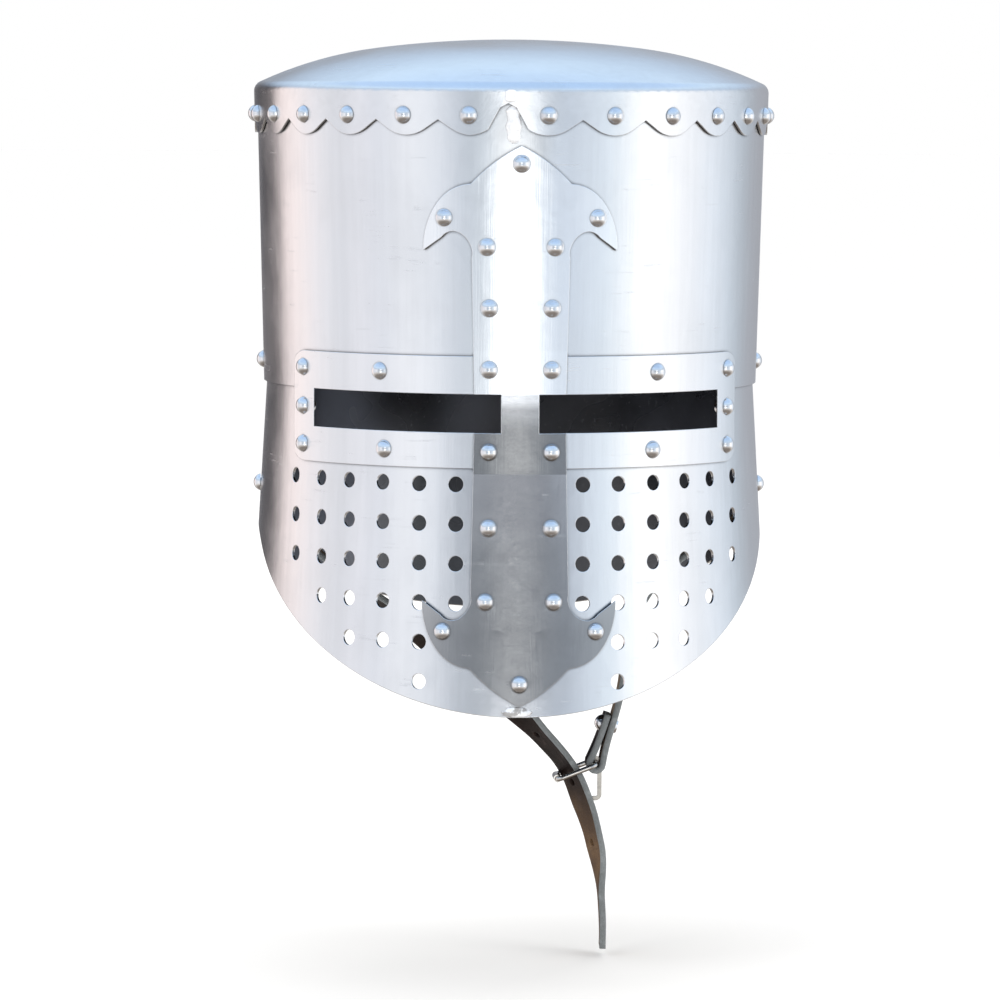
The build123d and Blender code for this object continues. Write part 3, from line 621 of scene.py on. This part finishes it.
def strap(name, path, twist, seed, width=STRAP_WIDTH, thick=STRAP_THICK):
    """A leather strap along a path in the plane y = 0. twist(share) turns its section, in degrees."""
    outline = strap_section(width, thick)
    parts = {"grain": 0, "edge": 1, "flesh": 2}
    count = len(outline)
    verts, faces, picks = [], [], []
    for index, point in enumerate(path):
        ahead = path[min(index + 1, len(path) - 1)] - path[max(index - 1, 0)]
        heading = ahead.normalized()
        across = Vector((0, 1, 0))
        through = across.cross(heading).normalized()
        turned = Matrix.Rotation(math.radians(twist(index / (len(path) - 1))), 3, heading)
        across, through = turned @ across, turned @ through
        for place_across, place_through, _ in outline:
            wander = noise.noise(point * 90 + Vector((seed, place_across * 300, 0)))
            cup = (place_across / (width / 2)) ** 2 * 0.15 * MM
            stretch = 1 + 0.012 * noise.noise(Vector((seed * 3.1, index * 0.09, 0)))
            verts.append(
                point
                + across * place_across * stretch
                + through * (place_through + cup + wander * 0.10 * MM)
            )
    for index in range(len(path) - 1):
        for k in range(count):
            after = (k + 1) % count
            base = index * count
            faces.append((base + k, base + after, base + count + after, base + count + k))
            kinds = {outline[k][2], outline[after][2]}
            picks.append(1 if len(kinds) > 1 or "edge" in kinds else parts[outline[k][2]])
    last = (len(path) - 1) * count
    faces.append(tuple(reversed(range(count))))
    faces.append(tuple(range(last, last + count)))
    picks += [1, 1]
    return new_piece(name, verts, faces, [GRAIN, RAW_EDGE, FLESH], picks)


def punch(piece, tools):
    """Cuts the tools from the piece and removes them."""
    for tool in tools:
        cut = piece.modifiers.new("punch", "BOOLEAN")
        cut.object = tool
        cut.operation = "DIFFERENCE"
        cut.solver = "EXACT"
    apply_modifiers(piece)
    for tool in tools:
        bpy.data.objects.remove(tool)


def cutter(outline, place, across, up, out, half_length):
    """A closed prism to cut with: outline in across and up, its length along out."""
    verts = []
    for side in (-1, 1):
        verts += [place + across * a + up * b + out * side * half_length for a, b in outline]
    count = len(outline)
    faces = [(k, (k + 1) % count, count + (k + 1) % count, count + k) for k in range(count)]
    faces += [tuple(reversed(range(count))), tuple(range(count, 2 * count))]
    piece = new_piece("cutter", verts, faces, [GRAIN])
    mesh = bmesh.new()
    mesh.from_mesh(piece.data)
    bmesh.ops.recalc_face_normals(mesh, faces=mesh.faces)
    mesh.to_mesh(piece.data)
    mesh.free()
    return piece


def round_outline(radius, count=20):
    turns = [math.tau * k / count for k in range(count)]
    return [(radius * math.cos(turn), radius * math.sin(turn)) for turn in turns]


# ---------------------------------------------------------------- chin strap

def between(stops):
    """A function of the share of the way along, smooth through (share, value) stops."""

    def value(share):
        for (a, low), (b, high) in zip(stops, stops[1:]):
            if share <= b:
                t = (share - a) / (b - a)
                return low + (high - low) * t * t * (3 - 2 * t)
        return stops[-1][1]

    return value


def long_strap():
    """The strap with the prong holes: from the right anchor, over the roller, to the hanging tail."""
    line, length = even_steps(smooth_route([(x, 0, z) for x, z in LONG_ROUTE]), 2.0 * MM)
    twist, lift = between(LONG_TWIST), between(LONG_LIFT)
    last = len(line) - 1
    path = []
    for index, point in enumerate(line):
        heading = (line[min(index + 1, last)] - line[max(index - 1, 0)]).normalized()
        path.append(point + heading.cross(Vector((0, 1, 0))) * lift(index / last) * MM)
    piece = strap("strap_long_leather", path, twist, seed=2.0)
    tools = []
    for number in range(STRAP_HOLE_COUNT):
        index = round((length - STRAP_HOLE_FIRST - STRAP_HOLE_PITCH * number) / length * last)
        heading = (path[index + 1] - path[index - 1]).normalized()
        turned = Matrix.Rotation(math.radians(twist(index / last)), 3, heading)
        across = turned @ Vector((0, 1, 0))
        through = heading.cross(across)
        hole = round_outline(STRAP_HOLE_RADIUS)
        tools.append(cutter(hole, path[index], heading, across, through, 3 * STRAP_THICK))
    tools.append(anchor_cutter(-1))
    punch(piece, tools)
    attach(piece, "chin_strap")
    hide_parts("chin_strap_long")


def anchor_cutter(side):
    """What the anchor rivet of one side needs clear in the leather."""
    low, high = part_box("strap_rivets")
    place = Vector((side * ANCHOR_REACH, 0, (low.z + high.z) / 2))
    out, back, up = Vector((1, 0, 0)), Vector((0, 1, 0)), Vector((0, 0, 1))
    return cutter(round_outline(RIVET_CLEARANCE), place, back, up, out, 3 * STRAP_THICK)


def short_strap():
    """The strap that is folded round the heel bar of the buckle and riveted to itself."""
    heel = JOINTS["buckle_frame_tilt"]
    up = Vector((math.sin(FOLD_LEAN), 0, math.cos(FOLD_LEAN)))
    right = Vector((math.cos(FOLD_LEAN), 0, -math.sin(FOLD_LEAN)))

    def at(across, along):
        return heel + right * across + up * along

    touch = math.radians(14)
    arc = [
        at(-FOLD_RADIUS * math.cos(turn), FOLD_RADIUS * math.sin(turn))
        for turn in (touch - (math.pi + 2 * touch) * k / 16 for k in range(17))
    ]
    left = smooth_route([at(-FOLD_LAYER, 24 * MM), at(-FOLD_LAYER, 10 * MM), arc[0]], 12)[:-1]
    route = [arc[-1], at(FOLD_LAYER, 10 * MM), at(FOLD_LAYER, 33 * MM)]
    route += [Vector((x, 0, z)) for x, z in SHORT_ROUTE]
    path, _ = even_steps([*left, *arc, *smooth_route(route)[1:]], 1.5 * MM)
    piece = strap("strap_short_leather", path, between(((0, 0), (1, 0))), seed=7.0)
    outside = FOLD_RADIUS + STRAP_THICK / 2
    reach, low, high = 2 * outside, -2 * outside, outside + 7 * MM
    slot = [(-reach, low), (reach, low), (reach, high), (-reach, high)]
    back = Vector((0, 1, 0))
    tools = [cutter(slot, heel, right, up, back, PRONG_SLOT / 2)]
    rivet_low, rivet_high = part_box("strap_fold_rivet")
    rivet = (rivet_low + rivet_high) / 2
    tools.append(cutter(round_outline(RIVET_CLEARANCE), rivet, back, up, right, 3 * STRAP_THICK))
    tools.append(anchor_cutter(1))
    punch(piece, tools)
    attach(piece, "chin_strap")
    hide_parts("chin_strap_short")


long_strap()
short_strap()


# ---------------------------------------------------------------- liner

def ring_point(angle, half_width, half_depth, height):
    return Vector((half_width * math.cos(angle), half_depth * math.sin(angle), height))


def liner_band():
    """Leather band inside the waist, slightly wavy, with rounded edges."""
    low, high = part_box("liner_band")
    rows = 9
    around = 240
    verts, faces = [], []
    shares = [row / (rows - 1) for row in range(rows)]
    outline = [(False, share) for share in shares] + [(True, share) for share in reversed(shares)]
    count = len(outline)
    for index in range(around):
        angle = math.tau * index / around
        for inward, share in outline:
            height = low.z + (high.z - low.z) * share
            soft = 0.35 * BAND_THICK * (abs(2 * share - 1) ** 8)
            spot = Vector((math.cos(angle) * 9, math.sin(angle) * 9, height * 80))
            wave = 0.12 * MM * noise.noise(spot)
            layer = BAND_THICK - soft if inward else soft
            inset = (high.z - height) * SKULL_SLOPE + layer + BAND_CLEARANCE + wave
            verts.append(ring_point(angle, high.x - inset, high.y - inset, height))
    for index in range(around):
        for k in range(count):
            a, b = index * count, (index + 1) % around * count
            faces.append((a + k, a + (k + 1) % count, b + (k + 1) % count, b + k))
    piece = new_piece("liner_band_leather", verts, faces, [LINER])
    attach(piece, "helmet")
    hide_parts("liner_band")


def tongue_line(ring, lace_height, reach, foot):
    """The middle of a tongue in its own plane: the loop round the lace, the rise, the foot.

    Also the number of its points that belong to the loop.
    """
    turns = [math.radians(degrees) for degrees in range(-60, 271, 22)]
    line = [
        (ring + TONGUE_LOOP * math.cos(turn), lace_height + TONGUE_LOOP * math.sin(turn))
        for turn in turns
    ]
    loop_end = len(line)
    rise_steps, foot_steps = 29, 5
    rise = TONGUE_SPRING + 1 * MM
    for k in range(1, rise_steps + 1):
        swing = math.pi / 2 * k / rise_steps
        across = ring + (reach - ring) * math.sin(swing)
        line.append((across, -TONGUE_SPRING + rise * math.cos(swing)))
    for k in range(1, foot_steps + 1):
        line.append((reach, -TONGUE_SPRING + (foot + TONGUE_SPRING) * k / foot_steps))
    return [Vector((x, 0, z)) for x, z in line], loop_end


def tongue_half_width(out, ring):
    """Half the width of a tongue at a distance out from the helm's axis."""
    if out >= TONGUE_FULL:
        return out * TONGUE_FLARE
    share = (out - ring) / (TONGUE_FULL - ring)
    return max(TONGUE_TIP, TONGUE_TIP + share * (TONGUE_FULL * TONGUE_FLARE - TONGUE_TIP))


def liner_tongues():
    """Eight curved leather tongues, folded into a loop at the lace."""
    lace_low, lace_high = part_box("liner_lace")
    ring = (lace_high.x - lace_low.x) / 2 - LACE_RADIUS
    stretch = (lace_high.y - lace_low.y) / (lace_high.x - lace_low.x)
    lace_height = (lace_low.z + lace_high.z) / 2
    first_low, first_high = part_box("liner_tongue_1")
    line, loop_end = tongue_line(ring, lace_height, first_high.x - 1.0 * MM, first_low.z)
    columns = 9
    count = 2 * columns
    for number in range(TONGUE_COUNT):
        verts, faces = [], []
        for index, point in enumerate(line):
            ahead = (line[min(index + 1, len(line) - 1)] - line[max(index - 1, 0)]).normalized()
            out = Vector((-ahead.z, 0, ahead.x))
            half = tongue_half_width(ring if index < loop_end else point.x, ring)
            for side in (1, -1):
                for column in range(columns):
                    share = side * (2 * column / (columns - 1) - 1)
                    soft = 1 - 0.55 * abs(share) ** 10
                    spot = Vector((point.x * 60 + number * 7, share * 1.3, point.z * 60))
                    sag = 0.35 * MM * noise.noise(spot)
                    wrapped = Matrix.Rotation(half * share / point.x, 3, "Z")
                    layer = side * TONGUE_THICK / 2 * soft
                    verts.append(wrapped @ (point + out * (layer + sag)))
        for index in range(len(line) - 1):
            for k in range(count):
                a, b = index * count, (index + 1) * count
                faces.append((a + k, a + (k + 1) % count, b + (k + 1) % count, b + k))
        faces.append(tuple(reversed(range(count))))
        faces.append(tuple(range((len(line) - 1) * count, len(line) * count)))
        turned = Matrix.Rotation(math.tau * number / TONGUE_COUNT, 3, "Z")
        placed = Matrix.Diagonal((1, stretch, 1)) @ turned
        piece = new_piece(f"tongue_leather_{number + 1}", [placed @ v for v in verts], faces, [LINER])
        smoother = piece.modifiers.new("soft", "SUBSURF")
        smoother.levels = 1
        smoother.render_levels = 1
        apply_modifiers(piece)
        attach(piece, "helmet")
        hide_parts(f"liner_tongue_{number + 1}")


def liner_lace():
    """Two cord strands twisted round each other through the loops, tied in a small knot."""
    low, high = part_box("liner_lace")
    middle_height = (low.z + high.z) / 2
    stretch = (high.y - low.y) / (high.x - low.x)
    ring = (high.x - low.x) / 2 - LACE_RADIUS
    verts, faces = [], []
    around, sides = 420, 8

    def tube(route, radius):
        """Adds a closed ring of cord."""
        start = len(verts)
        for index, point in enumerate(route):
            heading = (route[(index + 1) % len(route)] - route[index - 1]).normalized()
            side = heading.cross(Vector((0, 0, 1))).normalized()
            over = side.cross(heading)
            for k in range(sides):
                a = math.tau * k / sides
                verts.append(point + side * radius * math.cos(a) + over * radius * math.sin(a))
        for index in range(len(route)):
            a = start + index * sides
            b = start + (index + 1) % len(route) * sides
            for k in range(sides):
                faces.append((a + k, a + (k + 1) % sides, b + (k + 1) % sides, b + k))

    for phase in (0.0, math.pi):
        route = []
        for index in range(around):
            angle = math.tau * index / around
            turn = LACE_TWISTS * angle + phase
            reach = ring + LACE_STRAND * math.cos(turn)
            route.append(Vector((
                reach * math.cos(angle),
                reach * math.sin(angle) * stretch,
                middle_height + LACE_STRAND * math.sin(turn),
            )))
        tube(route, LACE_STRAND)
    knot_turn = math.pi / 8
    knot = Vector((ring * math.cos(knot_turn), ring * stretch * math.sin(knot_turn), middle_height))
    for tilt in (0.0, 1.2):
        route = []
        for index in range(36):
            a = math.tau * index / 36
            spot = Vector((1.7 * math.cos(a), 1.2 * math.sin(a), 1.3 * math.sin(a + 0.7))) * MM
            route.append(knot + Matrix.Rotation(tilt + knot_turn, 3, "Z") @ spot)
        tube(route, 0.7 * MM)
    piece = new_piece("lace_twisted", verts, faces, [LACE])
    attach(piece, "helmet")
    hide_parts("liner_lace")


liner_band()
liner_tongues()
liner_lace()


# ---------------------------------------------------------------- weld beads

def weld_bead(name, node, centre, top, bottom, half_width, rise, seed, material=WELD, ragged=0.1):
    """A closed bead of overlapping weld ripples down the front of a plate; centre is its x."""
    rows = max(12, round((top - bottom) / WELD_STEP))
    columns = 11
    verts, faces = [], []
    for row in range(rows + 1):
        share = row / rows
        height = top + (bottom - top) * share
        front = wall_front(node, height)
        ends = min(1.0, 6 * share, 6 * (1 - share))
        for column in range(columns):
            across = 2 * column / (columns - 1) - 1
            wander = noise.noise(Vector((seed, height * 160, 0))) * 0.9 * MM
            swell = 0.88 + 0.12 * math.sin(height * 900 + seed)
            edge = half_width * swell * max(0.35, ends**0.5)
            ripple = 0.14 * math.sin(height * 2400 + 2.2 * across * across + seed)
            lift = rise * (1 - across**2) * (0.8 + ripple) * ends**0.5
            lift += 0.10 * MM * noise.noise(Vector((across * 3, height * 500, seed)))
            reach = edge * (1 + ragged * noise.noise(Vector((seed + across, height * 700, 1))))
            place = centre + wander + across * reach
            surface = front - max(lift, -0.02 * MM) + 0.06 * MM
            verts.append(Vector((place, surface, height)))
    for row in range(rows):
        for column in range(columns - 1):
            a = row * columns + column
            faces.append((a, a + columns, a + columns + 1, a + 1))
    count = len(verts)
    verts += [v + Vector((0, 0.35 * MM, 0)) for v in verts]
    faces += [tuple(count + k for k in reversed(face)) for face in faces]
    rim = [row * columns for row in range(rows + 1)]
    rim += [rows * columns + c for c in range(1, columns)]
    rim += [row * columns + columns - 1 for row in range(rows - 1, -1, -1)]
    rim += [c for c in range(columns - 2, 0, -1)]
    for a, b in zip(rim, [*rim[1:], rim[0]]):
        faces.append((b, a, count + a, count + b))
    piece = new_piece(name, verts, faces, [material])
    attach(piece, "helmet")


def wall_front(node, height):
    """y of a plate's outer face on the centre line, read from its packed box and slope."""
    low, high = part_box(node)
    if node == "skull_shell":
        return low.y + SKULL_SLOPE * (high.z - height)
    if node == "crown_plate":
        return low.y + CROWN_SLOPE * (CROWN_WALL_TOP - height)
    return low.y + FACE_SLOPE * (height - low.z)


face_low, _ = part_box("face_shell")
cross_low, cross_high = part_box("cross_plate")
weld_bead(
    "weld_rim", "crown_plate", centre=-5.0 * MM, top=34.5 * MM, bottom=28.8 * MM,
    half_width=3.0 * MM, rise=0.7 * MM, seed=1.0,
)
weld_bead(
    "weld_skull", "skull_shell", centre=-3.4 * MM, top=28.4 * MM, bottom=cross_high.z + 0.8 * MM,
    half_width=3.7 * MM, rise=1.0 * MM, seed=4.0,
)
weld_bead(
    "weld_hem", "face_shell", centre=-1.0 * MM, top=cross_low.z - 0.1 * MM,
    bottom=face_low.z + 0.2 * MM, half_width=6.4 * MM, rise=0.45 * MM, seed=8.0,
    material=STAINED_WELD, ragged=0.45,
)


# ---------------------------------------------------------------- camera

CAMERA_DISTANCE = 2.70
CAMERA_TURN = math.radians(2.0)  # the camera stands a little to the helm's right
CAMERA_HEIGHT = 0.031
CAMERA_PITCH = math.radians(4.01)
CAMERA_OFF_AXIS = math.radians(0.09)
CAMERA_ROLL = math.radians(0.3)
SENSOR = 36.0
LENS = 206.8

camera = bpy.data.objects.new("camera", bpy.data.cameras.new("camera"))
bpy.context.scene.collection.objects.link(camera)
camera.data.lens = LENS
camera.data.sensor_width = SENSOR
camera.data.clip_end = 100.0
spot = Vector((
    -CAMERA_DISTANCE * math.sin(CAMERA_TURN),
    -CAMERA_DISTANCE * math.cos(CAMERA_TURN),
    CAMERA_HEIGHT,
))
turned = Matrix.Rotation(-CAMERA_TURN + CAMERA_OFF_AXIS, 4, "Z")
pitched = Matrix.Rotation(math.pi / 2 - CAMERA_PITCH, 4, "X")
rolled = Matrix.Rotation(CAMERA_ROLL, 4, "Z")
camera.matrix_world = Matrix.Translation(spot) @ turned @ pitched @ rolled
bpy.context.scene.camera = camera


# ---------------------------------------------------------------- floor, sky and lights

def floor():
    """A wide pale floor just under the hanging strap."""
    size = 40.0
    height = cad_low.z - 4 * MM
    verts = [(x * size, y * size, height) for x, y in ((-1, -1), (1, -1), (1, 1), (-1, 1))]
    material, tree = new_material("pale_floor")
    shader = tree.node("ShaderNodeBsdfDiffuse", {"Color": (1, 1, 1, 1)})
    finish_material(tree, shader)
    piece = new_piece("floor", verts, [(0, 1, 2, 3)], [material])
    piece.visible_glossy = False


def sky():
    """What the steel mirrors: a bright open yard, a blue zenith and a darker house behind the viewer.

    Heights and turns are in degrees. Everything else is lit by plain white.
    """
    world = bpy.data.worlds.new("yard")
    bpy.context.scene.world = world
    world.use_nodes = True
    tree = Tree(world.node_tree)
    looking = tree.node("ShaderNodeTexCoord").outputs["Generated"]
    x, y, z = tree.node("ShaderNodeSeparateXYZ", {0: looking}).outputs
    degrees = 180 / math.pi
    height = tree.math("MULTIPLY", tree.math("ARCSINE", z), degrees)
    forward = tree.math("MULTIPLY", y, -1.0)
    turn = tree.math("MULTIPLY", tree.math("ARCTAN2", x, forward), degrees)
    around = tree.math("ADD", tree.math("DIVIDE", turn, 360.0), 0.5)
    stops = [(0.5 + angle / 360, [c * gain for c in rgb(*color)]) for angle, color, gain in BELT]
    belt = tree.ramp(around, stops)
    ground = tree.ramp(
        tree.step(height, -6.0, -55.0),
        [(0.0, rgb(246, 243, 240)), (0.35, rgb(206, 201, 196)), (1.0, rgb(130, 122, 115))],
    )
    top = tree.ramp(
        tree.step(height, 18.0, 80.0),
        [
            (0.0, rgb(178, 196, 218)),
            (0.14, rgb(206, 228, 248)),
            (0.4, rgb(186, 212, 244)),
            (1.0, rgb(176, 206, 242)),
        ],
    )
    color = tree.mix(tree.step(height, 10.0, 24.0), belt, top)
    color = tree.mix(tree.step(height, -12.0, -30.0), color, ground)
    sideways = tree.math("ABSOLUTE", turn)
    house = tree.math("MULTIPLY", tree.step(sideways, 46.0, 12.0), tree.step(height, -2.5, 0.5))
    house = tree.math("MULTIPLY", house, tree.step(height, 9.0, 5.0))
    color = tree.mix(house, color, rgba(128, 132, 142))
    mirrored = tree.node("ShaderNodeBackground", {"Color": color, "Strength": SKY_STRENGTH})
    plain = tree.node("ShaderNodeBackground", {"Color": (1, 1, 1, 1), "Strength": 1.0})
    gloss = tree.node("ShaderNodeLightPath").outputs["Is Glossy Ray"]
    both = tree.node("ShaderNodeMixShader", {0: gloss, 1: plain, 2: mirrored})
    tree.node("ShaderNodeOutputWorld", {"Surface": both})


def soft_box(name, place, aim, size, power):
    """A large soft lamp that points at a place and isn't seen in the steel."""
    lamp = bpy.data.lights.new(name, "AREA")
    lamp.shape = "RECTANGLE"
    lamp.size, lamp.size_y = size
    lamp.energy = power
    lamp.color = WARM_WHITE
    made = bpy.data.objects.new(name, lamp)
    bpy.context.scene.collection.objects.link(made)
    made.location = place
    made.rotation_euler = (Vector(aim) - Vector(place)).to_track_quat("-Z", "Y").to_euler()
    made.visible_camera = False
    made.visible_glossy = False


floor()
sky()
middle = (cad_low + cad_high) / 2
soft_box("key_light", (-1.6, -2.2, 1.7), middle, (1.4, 1.4), 22)
soft_box("fill_light", (2.2, -1.4, 0.7), middle, (1.4, 1.8), 14)
soft_box("back_light", (0.6, 2.4, 1.6), middle, (1.6, 1.2), 16)
bpy.context.scene.view_settings.view_transform = "Standard"
